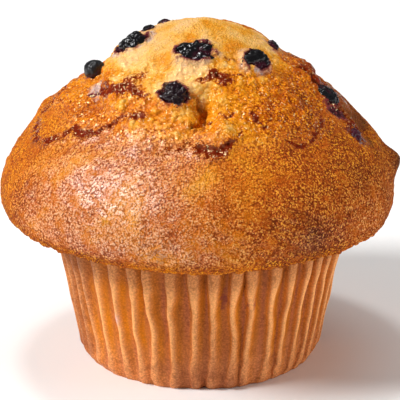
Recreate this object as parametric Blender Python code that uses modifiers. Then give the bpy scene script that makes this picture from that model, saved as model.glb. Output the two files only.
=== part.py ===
"""A large muffin baked in a pleated paper case, with whole berries set in its crown.

The named sizes are in millimetres and degrees; the meshes are in metres, +Z up. The origin is the
middle of the case's base, and the front of the muffin looks along -Y. A place on the cap is given
as a longitude, measured round from the front towards +X, and a latitude, which is 0 on the cap's
widest ring, 90 at the middle of its crown, and -90 where its underside meets the paper case.
"""
import math
import random

import bmesh
import bpy
from mathutils import Matrix, Vector

MM = 0.001
GAP = 0.3                  # clearance between pieces that touch
SHARP_ANGLE = 35.0         # edges that turn more than this stay crisp

# Cap of the cake
CAP_RADIUS = 48.0          # of its widest ring
WIDEST_HEIGHT = 41.8       # of that ring above the base
CROWN_HEIGHT = 83.4        # of the plain outline, before the swells below
SLOPE_DIP = 0.123          # how far the shoulder falls inside a quarter ellipse
SETTLE_REACH = 40.0        # the uneven form sets in over these degrees above the case
CAKE_SIDES = 60
LIP_RINGS = (-90.0, -62.0, -42.0, -26.0, -12.0)
SHOULDER_RINGS = (0.0, 5.0, 9.5, 14.0, 18.0, 23.0, 28.0)
CROWN_RINGS = (32.0, 36.0, 40.0, 44.0, 48.0, 52.0, 56.0, 60.0, 65.0, 70.0, 76.0, 83.0)

# Stem of the cake, inside the case
STEM_SLACK = 0.1           # how far it stays inside the pleats' valleys, beyond the gap
STEM_BEVEL = 1.5           # of its lower edge

# Pleated paper case
CASE_HEIGHT = 33.0
PAPER = 0.35               # thickness of the greaseproof paper
FLAT_RADIUS = 28.9         # of the flat base
FOOT_RADIUS = 30.1         # of the pleats' crests at the foot of the wall
FOOT_HEIGHT = 1.4
WALL_FLARE = 0.192         # growth of the crest radius for each unit of height
CASE_LEVELS = (FOOT_HEIGHT, 12.0, 23.0, CASE_HEIGHT)
PLEAT_COUNT = 43
PLEAT_PITCH = 360.0 / PLEAT_COUNT
PLEAT_SEED = 5
FIRST_PLEAT = 5.0          # longitude of the first crest
FOOT_PLEAT_DEPTH = 0.7
RIM_PLEAT_DEPTH = 2.1
PLEAT_DEPTHS = (0.8, 1.15)     # range of one pleat's share of that depth
SHALLOW_DROP = 0.6         # how far the crest of a pleat with no depth at all would sink
CREST_SHARE = 0.28         # of the pitch, below the rim
RIM_CREST_SHARE = 0.34     # and at the rim
FALL_SHARE = 0.18          # of the pitch: the flank that falls away towards +X
STEEP_SHARE = 0.10         # and the one on the other side
PLEAT_UNEVEN = 0.13        # of the pitch
PLEAT_SWAY = 0.07          # of the pitch, to and fro as the pleat goes up
SWAY_LENGTH = 4.0          # height over which the sway turns through one radian

# Underside of the cap, from the case's rim out to the widest ring: (radius, height)
UNDERSIDE = (
    (37.7, CASE_HEIGHT + GAP + 0.2),
    (44.2, 37.0),
    (CAP_RADIUS, 36.3),
    (CAP_RADIUS, WIDEST_HEIGHT),
)

# Crown mound: a lobe that stands proud of the slope, steepest at its left side
MOUND_CENTRE = (1.0, -10.0)
MOUND_RADIUS = 24.5
MOUND_STEP = 2.4
MOUND_EDGE = 1.6           # half width of the step on the left
MOUND_FADE = 7.0           # and elsewhere
MOUND_REACH = 10.0         # how far from its edge the step is felt
MOUND_LEFT = (0.5, 0.9)    # shares of its radius over which the left side's sharp edge sets in
MOUND_SOFT_SHARE = 0.25    # of the step, where the edge is soft

# Swells and hollows: longitude, latitude, reach across, reach up the slope, height
SWELLS = (
    (-88, -4, 26.0, 9.0, 1.0),     # the cap is broader on the left
    (-92, 41, 10.0, 6.0, 1.6),     # left lobe
    (-102, 29, 6.0, 3.0, 1.3),     # corner on the left outline
    (-68, 49, 4.5, 4.0, -1.4),     # hollow below the round berry
    (9, 40, 4.0, 3.4, 1.9),        # small mound in front
    (2, 50, 2.0, 5.0, -4.2),       # cleft between the front lobes
    (-3, 53, 4.0, 3.0, -1.5),
    (-13, 33, 5.5, 2.5, -0.9),     # soft dents under the front lobe
    (-6, 41, 3.5, 2.5, -0.9),
    (-30, 42, 9.0, 5.0, 0.8),      # front left lobe
    (38, 44, 12.0, 6.0, 0.8),      # front right lobe
    (25, 84, 9.0, 9.0, 1.1),       # top of the crown
    (64, 59, 2.5, 4.0, -1.1),      # crease beside the right-hand berry
    (90, 54, 6.0, 4.5, 1.9),       # lumps down the right side
    (86, 38, 6.0, 4.5, 1.2),
    (82, 25, 8.0, 3.0, -1.1),
    (89, 9.5, 5.0, 2.6, 2.5),      # knob on the right outline
    (86, 0, 14.0, 5.0, -0.5),      # and the flatter side below it
    (75, -62, 18.0, 4.0, 1.1),     # the lip hangs lower on the right
    (128, 30, 10.0, 7.0, 1.3),     # lobes and hollows at the back
    (150, 44, 9.0, 6.0, 1.5),
    (168, 30, 10.0, 4.0, -1.1),
    (186, 50, 8.0, 6.0, 1.4),
    (208, 34, 10.0, 6.0, 1.4),
    (232, 44, 5.0, 6.0, -1.4),
    (176, 66, 5.0, 4.0, -0.9),
)

# Berries: name, longitude, latitude, lift of its centre, half sizes across, up the slope and out
BERRIES = (
    ("berry_left_round", -92, 53, 0.6, (2.7, 2.7, 2.6)),
    ("berry_left_long", -80, 69.5, -0.3, (2.9, 4.1, 2.6)),
    ("berry_left_behind", -98, 74.5, -0.5, (1.8, 1.9, 1.9)),
    ("berry_crest", -138, 74, -0.9, (2.3, 2.1, 1.9)),
    ("berry_top_burst", -4, 73, -1.2, (5.1, 4.0, 2.9)),
    ("berry_front", -14, 55, -0.2, (3.4, 3.3, 2.9)),
    ("berry_right_burst", 46, 66, -1.0, (4.0, 3.4, 2.7)),
    ("berry_right_small", 90, 67, -0.8, (1.8, 1.7, 1.5)),
    ("berry_right_long", 79, 43, -0.6, (2.7, 3.7, 2.4)),
    ("berry_right_low", 73, 27, -1.0, (2.8, 2.0, 2.0)),
    ("berry_back_right", 146, 43, -0.2, (3.2, 3.0, 2.8)),
    ("berry_back_middle", 172, 58, -1.0, (4.3, 3.5, 2.9)),
    ("berry_back_low", 182, 33, -0.3, (3.0, 3.2, 2.7)),
    ("berry_back_left", 214, 47, 0.4, (2.9, 2.8, 2.7)),
    ("berry_back_edge", 234, 26, -0.7, (3.4, 2.7, 2.5)),
)
BERRY_SIDES = 10
BERRY_RINGS = 6
BERRY_DIMPLE = 0.12        # share of its half size that a berry's wrinkles take
BERRY_FOLDS = 3            # wrinkles round a berry
BERRY_ROLL = 4.0           # how fast they turn from its foot to its top, in radians for a half size

# Colour and roughness of each material
LOOKS = {
    "baked_crust": ((0.55, 0.24, 0.045), 0.55),
    "greaseproof_paper": ((0.60, 0.30, 0.10), 0.60),
    "berry_skin": ((0.016, 0.010, 0.022), 0.35),
}


def clear_scene():
    for item in list(bpy.data.objects):
        bpy.data.objects.remove(item)


def make_collection(name):
    collection = bpy.data.collections.new(name)
    bpy.context.scene.collection.children.link(collection)
    return collection


def make_material(name):
    colour, roughness = LOOKS[name]
    material = bpy.data.materials.new(name)
    material.use_nodes = True
    shader = material.node_tree.nodes["Principled BSDF"]
    shader.inputs["Base Color"].default_value = (*colour, 1.0)
    shader.inputs["Roughness"].default_value = roughness
    return material


def add_object(name, mesh, collection, material=None):
    item = bpy.data.objects.new(name, mesh)
    if material:
        mesh.materials.append(material)
    collection.objects.link(item)
    return item


def finish_mesh(name, bm):
    """Turn a bmesh drawn in millimetres into a smooth mesh in metres."""
    bmesh.ops.scale(bm, vec=(MM, MM, MM), verts=bm.verts)
    bmesh.ops.recalc_face_normals(bm, faces=bm.faces)
    mesh = bpy.data.meshes.new(name)
    bm.to_mesh(mesh)
    bm.free()
    mesh.shade_smooth()
    mesh.set_sharp_from_angle(angle=math.radians(SHARP_ANGLE))
    return mesh


def smooth_step(value):
    share = min(max(value, 0.0), 1.0)
    return share * share * (3.0 - 2.0 * share)


def bezier(points, share):
    rest = 1.0 - share
    weights = (rest ** 3, 3.0 * rest ** 2 * share, 3.0 * rest * share ** 2, share ** 3)
    radius = sum(weight * point[0] for weight, point in zip(weights, points))
    height = sum(weight * point[1] for weight, point in zip(weights, points))
    return radius, height


def cap_outline(lat):
    """Radius and height of the plain cap at a latitude."""
    if lat < 0.0:
        return bezier(UNDERSIDE, 1.0 + lat / 90.0)
    angle = math.radians(lat)
    share = 1.0 - SLOPE_DIP * math.sin(2.0 * angle) ** 2
    radius = CAP_RADIUS * math.cos(angle) * share
    height = WIDEST_HEIGHT + (CROWN_HEIGHT - WIDEST_HEIGHT) * math.sin(angle) * share
    return radius, height


def cap_slope(lat):
    """Outward direction of the plain cap at a latitude, as its radial and upward shares."""
    low = Vector(cap_outline(max(lat - 1.0, -90.0)))
    high = Vector(cap_outline(min(lat + 1.0, 90.0)))
    along = (high - low).normalized()
    return along.y, -along.x


def around(lon, radius, height):
    angle = math.radians(lon)
    return Vector((radius * math.sin(angle), -radius * math.cos(angle), height))


def swell_height(lon, lat, swell):
    """Height of one swell, or depth of one hollow, where the cap has this longitude and latitude."""
    at_lon, at_lat, across, up, height = swell
    turn = math.radians((lon - at_lon + 180.0) % 360.0 - 180.0)
    reach_round = turn * cap_outline((lat + at_lat) / 2.0)[0]
    reach_up = (Vector(cap_outline(lat)) - Vector(cap_outline(at_lat))).length
    return height * math.exp(-(reach_round / across) ** 2 - (reach_up / up) ** 2)


def mound_height(lon, lat):
    """Step round the crown mound, whose edge is sharp at the left and soft elsewhere."""
    place = around(lon, *cap_outline(lat))
    offset = Vector((place.x - MOUND_CENTRE[0], place.y - MOUND_CENTRE[1]))
    start, end = MOUND_LEFT
    leftness = smooth_step((-offset.x / MOUND_RADIUS - start) / (end - start))
    edge = MOUND_FADE + (MOUND_EDGE - MOUND_FADE) * leftness
    inward = MOUND_RADIUS - offset.length
    side = 2.0 * smooth_step(0.5 + inward / (2.0 * edge)) - 1.0
    share = MOUND_SOFT_SHARE + (1.0 - MOUND_SOFT_SHARE) * leftness
    return MOUND_STEP / 2.0 * side * share * math.exp(-(inward / MOUND_REACH) ** 2)


def cap_point(lon, lat, lift=0.0):
    """Point on the uneven cap, or a distance above it."""
    uneven = mound_height(lon, lat) + sum(swell_height(lon, lat, swell) for swell in SWELLS)
    rise = lift + uneven * smooth_step((lat + 90.0) / SETTLE_REACH)
    radius, height = cap_outline(lat)
    radial, upward = cap_slope(lat)
    return around(lon, radius + radial * rise, height + upward * rise)


def crest_radius(height):
    return FOOT_RADIUS + WALL_FLARE * (height - FOOT_HEIGHT)


def pleat_depth(height):
    share = (height - FOOT_HEIGHT) / (CASE_HEIGHT - FOOT_HEIGHT)
    return FOOT_PLEAT_DEPTH + (RIM_PLEAT_DEPTH - FOOT_PLEAT_DEPTH) * share


def stem_radius(height):
    """Radius of the cake where it fills the case, clear of the pleats' valleys."""
    return crest_radius(height) - pleat_depth(height) - PAPER - GAP - STEM_SLACK


def cake_rings():
    """Rings of the cake from its foot up: (radius, height) in the case, a latitude on the cap."""
    foot = PAPER + GAP
    neck = UNDERSIDE[0][1]
    stem = [(stem_radius(FOOT_HEIGHT) - STEM_BEVEL, foot)]
    stem += [(stem_radius(height), height) for height in (foot + STEM_BEVEL, neck)]
    return stem + [*LIP_RINGS, *SHOULDER_RINGS, *CROWN_RINGS]


def ring_point(ring, lon):
    if isinstance(ring, float):
        return cap_point(lon, ring)
    return around(lon, *ring)


def make_cake(collection, material):
    """A ball whose rings are laid along the cake's outline and its uneven cap."""
    rings = cake_rings()
    count = len(rings) + 1
    bm = bmesh.new()
    bmesh.ops.create_uvsphere(bm, u_segments=CAKE_SIDES, v_segments=count, radius=1.0)
    for vert in bm.verts:
        share = math.acos(min(max(-vert.co.z, -1.0), 1.0)) / math.pi
        index = round(share * count) - 1
        lon = math.degrees(math.atan2(vert.co.x, -vert.co.y))
        if index < 0:
            vert.co = (0.0, 0.0, rings[0][1])
        elif index == count - 1:
            vert.co = cap_point(0.0, 90.0)
        else:
            vert.co = ring_point(rings[index], lon)
    return add_object("muffin_cake", finish_mesh("muffin_cake", bm), collection, material)


def make_pleats():
    """Each pleat's middle longitude, the phase of its sway, and its share of the full depth."""
    chance = random.Random(PLEAT_SEED)
    pleats = []
    for index in range(PLEAT_COUNT):
        place = index + chance.uniform(-PLEAT_UNEVEN, PLEAT_UNEVEN)
        phase = chance.uniform(0.0, 2.0 * math.pi)
        pleats.append((FIRST_PLEAT + place * PLEAT_PITCH, phase, chance.uniform(*PLEAT_DEPTHS)))
    return pleats


def case_ring(height, pleats):
    """One level of the pleated wall, with four corners to a pleat: the crest's two and its flanks' feet."""
    rise = smooth_step((height - CASE_LEVELS[1]) / (CASE_HEIGHT - CASE_LEVELS[1]))
    half_crest = (CREST_SHARE + (RIM_CREST_SHARE - CREST_SHARE) * rise) / 2.0
    ring = []
    for middle, phase, deep in pleats:
        sway = PLEAT_SWAY * math.sin(height / SWAY_LENGTH + phase)
        high = crest_radius(height) - SHALLOW_DROP * max(1.0 - deep, 0.0)
        low = crest_radius(height) - pleat_depth(height) * min(deep, 1.0)
        corners = (
            (-half_crest - STEEP_SHARE, low),
            (-half_crest, high),
            (half_crest, high),
            (half_crest + FALL_SHARE, low),
        )
        for side, radius in corners:
            ring.append(around(middle + (side + sway) * PLEAT_PITCH, radius, height))
    return ring


def loft(bm, rings):
    """Join rings of equal length with quads, and close the first one."""
    rows = [[bm.verts.new(point) for point in ring] for ring in rings]
    bm.faces.new(reversed(rows[0]))
    for lower, upper in zip(rows, rows[1:]):
        for index in range(len(lower)):
            after = (index + 1) % len(lower)
            bm.faces.new((lower[index], lower[after], upper[after], upper[index]))


def make_case(collection, material):
    """The pleated wall and round base as one sheet, which Solidify gives its thickness inward."""
    pleats = make_pleats()
    wall = [case_ring(height, pleats) for height in CASE_LEVELS]
    base = [point.xy.normalized() * FLAT_RADIUS for point in wall[0]]
    flat = [Vector((point.x, point.y, 0.0)) for point in base]
    bm = bmesh.new()
    loft(bm, [flat] + wall)
    case = add_object("paper_case", finish_mesh("paper_case", bm), collection, material)
    sheet = case.modifiers.new("paper", "SOLIDIFY")
    sheet.thickness = PAPER * MM
    sheet.offset = -1.0
    sheet.use_even_offset = True
    return case


def berry_mesh(name, half_sizes, growth):
    """A slightly wrinkled ball; growth is added all round for the pocket that holds the berry."""
    chance = random.Random(name)
    phase = chance.uniform(0.0, 2.0 * math.pi)
    bm = bmesh.new()
    bmesh.ops.create_uvsphere(bm, u_segments=BERRY_SIDES, v_segments=BERRY_RINGS, radius=1.0)
    for vert in bm.verts:
        turn = math.atan2(vert.co.y, vert.co.x)
        wrinkle = math.sin(BERRY_FOLDS * turn + phase) * math.cos(BERRY_ROLL * vert.co.z + phase)
        share = 1.0 - BERRY_DIMPLE * (0.5 + 0.5 * wrinkle) * (1.0 - vert.co.z ** 2)
        vert.co = Vector([part * (half * share + growth) for part, half in zip(vert.co, half_sizes)])
    return finish_mesh(name, bm)


def berry_frame(lon, lat, lift):
    """Place and turn of a berry: across the slope, up the slope, and out of the cap."""
    centre = cap_point(lon, lat, lift)
    across = (cap_point(lon + 3.0, lat) - cap_point(lon - 3.0, lat)).normalized()
    up = cap_point(lon, lat + 3.0) - cap_point(lon, lat - 3.0)
    out = across.cross(up).normalized()
    up = out.cross(across)
    turn = Matrix((across, up, out)).transposed()
    return Matrix.Translation(centre * MM) @ turn.to_4x4()


def add_berries(collection, cutters, cake, material):
    """Set each berry in the cap, in a pocket cut a little larger than the berry."""
    for name, lon, lat, lift, half_sizes in BERRIES:
        place = berry_frame(lon, lat, lift)
        berry = add_object(name, berry_mesh(name, half_sizes, 0.0), collection, material)
        berry.matrix_world = place
        pocket = add_object(name + "_pocket", berry_mesh(name, half_sizes, GAP), cutters)
        pocket.matrix_world = place
        pocket.hide_render = True
        pocket.display_type = "WIRE"
        cut = cake.modifiers.new(name, "BOOLEAN")
        cut.operation = "DIFFERENCE"
        cut.object = pocket


def build():
    clear_scene()
    muffin = make_collection("muffin")
    cutters = make_collection("cutters")
    cake = make_cake(muffin, make_material("baked_crust"))
    make_case(muffin, make_material("greaseproof_paper"))
    add_berries(muffin, cutters, cake, make_material("berry_skin"))


build()
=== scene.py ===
import math
import random

import bmesh
import bpy
import numpy as np
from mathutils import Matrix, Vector, noise


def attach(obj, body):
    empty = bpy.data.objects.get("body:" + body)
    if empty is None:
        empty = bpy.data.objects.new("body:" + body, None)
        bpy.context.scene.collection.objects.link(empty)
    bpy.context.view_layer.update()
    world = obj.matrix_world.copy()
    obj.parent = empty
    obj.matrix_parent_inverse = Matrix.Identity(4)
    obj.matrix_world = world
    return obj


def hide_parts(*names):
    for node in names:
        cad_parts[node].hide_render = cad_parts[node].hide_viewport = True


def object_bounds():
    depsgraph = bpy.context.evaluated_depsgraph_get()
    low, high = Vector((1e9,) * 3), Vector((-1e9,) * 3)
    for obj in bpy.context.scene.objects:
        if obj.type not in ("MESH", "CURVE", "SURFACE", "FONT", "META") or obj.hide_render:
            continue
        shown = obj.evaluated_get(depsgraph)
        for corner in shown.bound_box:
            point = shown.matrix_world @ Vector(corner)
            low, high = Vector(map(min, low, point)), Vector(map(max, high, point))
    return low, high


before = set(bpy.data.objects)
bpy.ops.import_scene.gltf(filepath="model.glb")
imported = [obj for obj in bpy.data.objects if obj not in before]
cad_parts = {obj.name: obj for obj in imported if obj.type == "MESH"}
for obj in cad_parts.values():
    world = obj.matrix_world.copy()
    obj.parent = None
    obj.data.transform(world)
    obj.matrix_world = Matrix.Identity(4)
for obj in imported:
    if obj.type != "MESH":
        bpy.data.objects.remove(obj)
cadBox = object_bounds()

mm = 0.001      # the forms below are in millimetres and degrees, the meshes in metres

# A place on the cap is a longitude, round from the front towards +X, and a latitude:
# 0 on the widest ring, 90 in the middle of the crown, -90 where the underside meets the case.


def smoothStep(value):      # 0 to 1 with a soft start and end
    share = np.clip(value, 0.0, 1.0)
    return share * share * (3.0 - 2.0 * share)


def fade(value, start, end):        # 0 before start, 1 after end
    return smoothStep((value - start) / (end - start))


def bell(value, reach):
    return np.exp(-(value / reach) ** 2)


def randomHeights(points, size, seed, octaves=1):       # smooth lumps of one size, about -1 to 1
    shift = Vector((seed * 7.31, seed * 3.17, seed * 5.73))
    places = points.reshape(-1, 3) / size
    heights = [noise.fractal(Vector(place) + shift, 1.0, 2.0, octaves) for place in places]
    return np.array(heights).reshape(points.shape[:-1]) * 1.4


def randomShifts(points, size, seed):       # smooth random offsets, for ragged edges
    parts = [randomHeights(points, size, seed + 20 * axis) for axis in range(3)]
    return np.stack(parts, axis=-1)


def smoothPath(points, steps=8):        # Catmull-Rom curve through the points
    knots = [points[0]] + list(points) + [points[-1]]
    path = []
    for before, start, end, after in zip(knots, knots[1:], knots[2:], knots[3:]):
        for step in range(steps):
            t = step / steps
            path.append(0.5 * (2 * start + (end - before) * t
                               + (2 * before - 5 * start + 4 * end - after) * t ** 2
                               + (3 * start - before - 3 * end + after) * t ** 3))
    path.append(points[-1])
    return path


def pathDistance(points, path):     # distance to the path, and how far along it the nearest place is
    nearest = np.full(points.shape[:-1], 1e9)
    along = np.zeros(points.shape[:-1])
    for index, (start, end) in enumerate(zip(path, path[1:])):
        edge = end - start
        share = np.clip(((points - start) @ edge) / max(edge @ edge, 1e-9), 0.0, 1.0)
        gap = np.linalg.norm(points - start - share[..., None] * edge, axis=-1)
        nearer = gap < nearest
        nearest = np.where(nearer, gap, nearest)
        along = np.where(nearer, (index + share) / (len(path) - 1), along)
    return nearest, along


def gridNormals(points):        # rows of rings, closed round
    sideways = np.roll(points, -1, axis=1) - np.roll(points, 1, axis=1)
    upward = np.gradient(points, axis=0)
    normals = np.cross(sideways, upward)
    return normals / np.maximum(np.linalg.norm(normals, axis=-1, keepdims=True), 1e-9)


def ringFaces(rows, columns):       # a sheet of four-sided faces, closed round
    faces = []
    for row in range(rows - 1):
        for column in range(columns):
            after = (column + 1) % columns
            low, high = row * columns, (row + 1) * columns
            faces.append((low + column, low + after, high + after, high + column))
    return faces


def newObject(name, points, faces, material):
    mesh = bpy.data.meshes.new(name)
    mesh.from_pydata((np.asarray(points) * mm).tolist(), [], faces)
    mesh.materials.append(material)
    mesh.shade_smooth()
    item = bpy.data.objects.new(name, mesh)
    bpy.context.scene.collection.objects.link(item)
    return item


def paintField(item, name, values):     # a value on each point, which the material reads by name
    field = item.data.attributes.new(name, "FLOAT", "POINT")
    field.data.foreach_set("value", np.clip(values, 0.0, 1.0).astype(np.float32).ravel())


# The form of the cap: one outline turned round, with a mound, swells and dips on it
capForm = {
    "radius": 48.0,             # of the widest ring
    "widestHeight": 41.8,
    "crownHeight": 83.4,
    "slopeDip": 0.123,          # how far the shoulder falls inside a quarter ellipse
    "underside": [(37.7, 33.5), (44.2, 37.0), (48.0, 36.3), (48.0, 41.8)],
    "settleFrom": -90.0,        # the uneven form fades in over these latitudes
    "settleReach": 40.0,
}

moundForm = {
    "centre": (1.0, -10.0),
    "radius": 24.5,
    "step": 2.4,
    "edge": 1.6,                # half width of the step on the left
    "softEdge": 7.0,            # and elsewhere
    "softShare": 0.25,          # how much of the step is left there
    "reach": 10.0,
}

# longitude, latitude, reach across, reach up the slope, height
swells = [
    (-88, -4, 26.0, 9.0, 1.0), (-92, 41, 10.0, 6.0, 1.6), (-102, 29, 6.0, 3.0, 1.3),
    (-68, 49, 4.5, 4.0, -1.4), (9, 40, 4.0, 3.4, 1.9), (2, 50, 2.0, 5.0, -4.2),
    (-3, 53, 4.0, 3.0, -1.5), (-13, 33, 5.5, 2.5, -0.9), (-6, 41, 3.5, 2.5, -0.9),
    (-30, 42, 9.0, 5.0, 0.8), (38, 44, 12.0, 6.0, 0.8), (25, 84, 9.0, 9.0, 1.1),
    (64, 59, 2.5, 4.0, -1.1), (90, 54, 6.0, 4.5, 1.9), (86, 38, 6.0, 4.5, 1.2),
    (82, 25, 8.0, 3.0, -1.1), (89, 9.5, 5.0, 2.6, 2.5), (86, 0, 14.0, 5.0, -0.5),
    (75, -62, 18.0, 4.0, 1.1), (128, 30, 10.0, 7.0, 1.3), (150, 44, 9.0, 6.0, 1.5),
    (168, 30, 10.0, 4.0, -1.1), (186, 50, 8.0, 6.0, 1.4), (208, 34, 10.0, 6.0, 1.4),
    (232, 44, 5.0, 6.0, -1.4), (176, 66, 5.0, 4.0, -0.9),
]


def undersideOutline(lat):      # a cubic curve from the case's rim out to the widest ring
    share = np.clip(1.0 + lat / 90.0, 0.0, 1.0)
    rest = 1.0 - share
    weights = (rest ** 3, 3 * rest ** 2 * share, 3 * rest * share ** 2, share ** 3)
    radius = sum(weight * point[0] for weight, point in zip(weights, capForm["underside"]))
    height = sum(weight * point[1] for weight, point in zip(weights, capForm["underside"]))
    return radius, height


def capOutline(lat):
    lat = np.asarray(lat, float)
    lowRadius, lowHeight = undersideOutline(lat)
    angle = np.radians(lat)
    share = 1.0 - capForm["slopeDip"] * np.sin(2.0 * angle) ** 2
    radius = capForm["radius"] * np.cos(angle) * share
    rise = capForm["crownHeight"] - capForm["widestHeight"]
    height = capForm["widestHeight"] + rise * np.sin(angle) * share
    return np.where(lat < 0.0, lowRadius, radius), np.where(lat < 0.0, lowHeight, height)


def capSlope(lat):      # outward direction, as its radial and upward shares
    lowRadius, lowHeight = capOutline(np.maximum(lat - 1.0, -90.0))
    highRadius, highHeight = capOutline(np.minimum(lat + 1.0, 90.0))
    radial, upward = highHeight - lowHeight, lowRadius - highRadius
    length = np.hypot(radial, upward)
    return radial / length, upward / length


def around(lon, radius, height):
    angle = np.radians(lon)
    x, y, z = np.broadcast_arrays(radius * np.sin(angle), -radius * np.cos(angle), height)
    return np.stack((x, y, z), axis=-1)


def swellHeights(lon, lat):
    total = 0.0
    radius, height = capOutline(lat)
    for atLon, atLat, across, up, lift in swells:
        turn = np.radians((lon - atLon + 180.0) % 360.0 - 180.0)
        atRadius, atHeight = capOutline(atLat)
        reachRound = turn * capOutline((lat + atLat) / 2.0)[0]
        reachUp = np.hypot(radius - atRadius, height - atHeight)
        total = total + lift * bell(reachRound, across) * bell(reachUp, up)
    return total


def moundHeights(lon, lat):     # step round the crown mound, sharp at the left and soft elsewhere
    place = around(lon, *capOutline(lat))
    x = place[..., 0] - moundForm["centre"][0]
    y = place[..., 1] - moundForm["centre"][1]
    leftness = smoothStep((-x / moundForm["radius"] - 0.5) * 2.5)
    edge = moundForm["softEdge"] + (moundForm["edge"] - moundForm["softEdge"]) * leftness
    inward = moundForm["radius"] - np.hypot(x, y)
    side = 2.0 * smoothStep(0.5 + inward / (2.0 * edge)) - 1.0
    share = moundForm["softShare"] + (1.0 - moundForm["softShare"]) * leftness
    return moundForm["step"] / 2.0 * side * bell(inward, moundForm["reach"]) * share


def onCap(lon, lat, lift=0.0):      # a place on the uneven cap, or above it
    lon = np.asarray(lon, float)
    lat = np.asarray(lat, float)
    settle = smoothStep((lat - capForm["settleFrom"]) / capForm["settleReach"])
    rise = lift + (moundHeights(lon, lat) + swellHeights(lon, lat)) * settle
    radius, height = capOutline(lat)
    radial, upward = capSlope(lat)
    return around(lon, radius + radial * rise, height + upward * rise)


# Each berry: longitude, latitude, lift, half sizes across, up the slope and out, then its wrinkle,
# wetness, bloom and stain, and how much of it the dough leaves open
berries = {
    "berry_left_round": (-92, 53, 0.6, (2.7, 2.7, 2.6), 0.05, 0.1, 0.9, 0.4, 1.0),
    "berry_left_long": (-77, 69, -0.3, (2.9, 4.2, 2.6), 0.20, 0.9, 0.1, 1.0, 1.0),
    "berry_left_behind": (-98, 74.5, -0.5, (1.8, 1.9, 1.9), 0.14, 0.5, 0.3, 0.5, 1.0),
    "berry_crest": (-138, 74, -0.9, (2.3, 2.1, 1.9), 0.12, 0.5, 0.1, 0.7, 0.9),
    "berry_top_burst": (-4, 71.8, -1.2, (5.1, 4.0, 2.9), 0.26, 1.0, 0.0, 1.0, 0.72),
    "berry_front": (-14, 55, -0.2, (3.4, 3.3, 2.9), 0.24, 1.0, 0.05, 1.05, 0.82),
    "berry_right_burst": (46, 66, -1.0, (4.0, 3.4, 2.7), 0.26, 0.6, 0.1, 1.0, 0.80),
    "berry_right_small": (90, 67, -0.8, (1.8, 1.7, 1.5), 0.14, 0.5, 0.1, 0.7, 0.85),
    "berry_right_long": (79, 43, -0.6, (2.7, 3.7, 2.4), 0.10, 0.4, 0.5, 0.6, 1.0),
    "berry_right_low": (73, 27, -1.0, (2.8, 2.0, 2.0), 0.16, 0.2, 0.0, 1.3, 0.12),
    "berry_back_right": (146, 43, -0.2, (3.2, 3.0, 2.8), 0.14, 0.4, 0.4, 0.8, 1.0),
    "berry_back_middle": (172, 58, -1.0, (4.3, 3.5, 2.9), 0.24, 0.9, 0.1, 1.0, 1.0),
    "berry_back_low": (182, 33, -0.3, (3.0, 3.2, 2.7), 0.10, 0.3, 0.6, 0.7, 1.0),
    "berry_back_left": (214, 47, 0.4, (2.9, 2.8, 2.7), 0.06, 0.2, 0.8, 0.5, 1.0),
    "berry_back_edge": (234, 26, -0.7, (3.4, 2.7, 2.5), 0.20, 0.7, 0.1, 0.9, 1.0),
}


def berryFrame(lon, lat, lift):     # centre, and the directions across, up the slope and out
    centre = onCap(lon, lat, lift)
    across = onCap(lon + 3.0, lat) - onCap(lon - 3.0, lat)
    across = across / np.linalg.norm(across)
    up = onCap(lon, lat + 3.0) - onCap(lon, lat - 3.0)
    out = np.cross(across, up)
    out = out / np.linalg.norm(out)
    return centre, across, np.cross(out, across), out


# Helpers for shader nodes. A value given to them is a number, a colour or another node's output.

def feed(tree, socket, value):      # a link, or the socket's own value
    if isinstance(value, bpy.types.NodeSocket):
        tree.links.new(value, socket)
    elif socket.type == "RGBA":
        socket.default_value = (*value, 1.0)
    else:
        socket.default_value = value


def addNode(tree, kind, inputs, **properties):
    node = tree.nodes.new(kind)
    for name, value in properties.items():
        setattr(node, name, value)
    for socket, value in inputs.items():
        feed(tree, node.inputs[socket], value)
    return node


def mathNode(tree, operation, *values):
    return addNode(tree, "ShaderNodeMath", dict(enumerate(values)), operation=operation).outputs[0]


def times(tree, first, second):
    return mathNode(tree, "MULTIPLY", first, second)


def mapRange(tree, value, low, high, toLow=0.0, toHigh=1.0):
    numbers = dict(enumerate((value, low, high, toLow, toHigh)))
    return addNode(tree, "ShaderNodeMapRange", numbers).outputs["Result"]


def mixColours(tree, factor, first, second, blend="MIX"):
    sockets = {0: factor, 6: first, 7: second}      # 6 and 7 are the node's two colours
    return addNode(tree, "ShaderNodeMix", sockets, data_type="RGBA", blend_type=blend).outputs[2]


def noiseValue(tree, place, scale, detail, **inputs):
    inputs = {"Vector": place, "Scale": scale, "Detail": detail, **inputs}
    return addNode(tree, "ShaderNodeTexNoise", inputs).outputs["Fac"]


def bumpNormal(tree, height, strength, distance):
    sizes = {"Height": height, "Strength": strength, "Distance": distance}
    return addNode(tree, "ShaderNodeBump", sizes).outputs["Normal"]


def fieldValue(tree, name):         # what paintField put on the mesh
    return addNode(tree, "ShaderNodeAttribute", {}, attribute_name=name).outputs["Fac"]


def colourRamp(tree, value, stops):     # stops: (position, colour)
    node = tree.nodes.new("ShaderNodeValToRGB")
    tree.links.new(value, node.inputs[0])
    ramp = node.color_ramp
    ramp.elements[0].position, ramp.elements[0].color = stops[0][0], (*stops[0][1], 1.0)
    ramp.elements[1].position, ramp.elements[1].color = stops[-1][0], (*stops[-1][1], 1.0)
    for position, colour in stops[1:-1]:
        ramp.elements.new(position).color = (*colour, 1.0)
    return node.outputs["Color"]


def newMaterial(name):
    material = bpy.data.materials.new(name)
    material.use_nodes = True
    tree = material.node_tree
    return material, tree, addNode(tree, "ShaderNodeTexCoord", {}).outputs["Object"]


def dressShader(tree, inputs):
    for socket, value in inputs.items():
        feed(tree, tree.nodes["Principled BSDF"].inputs[socket], value)


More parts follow.
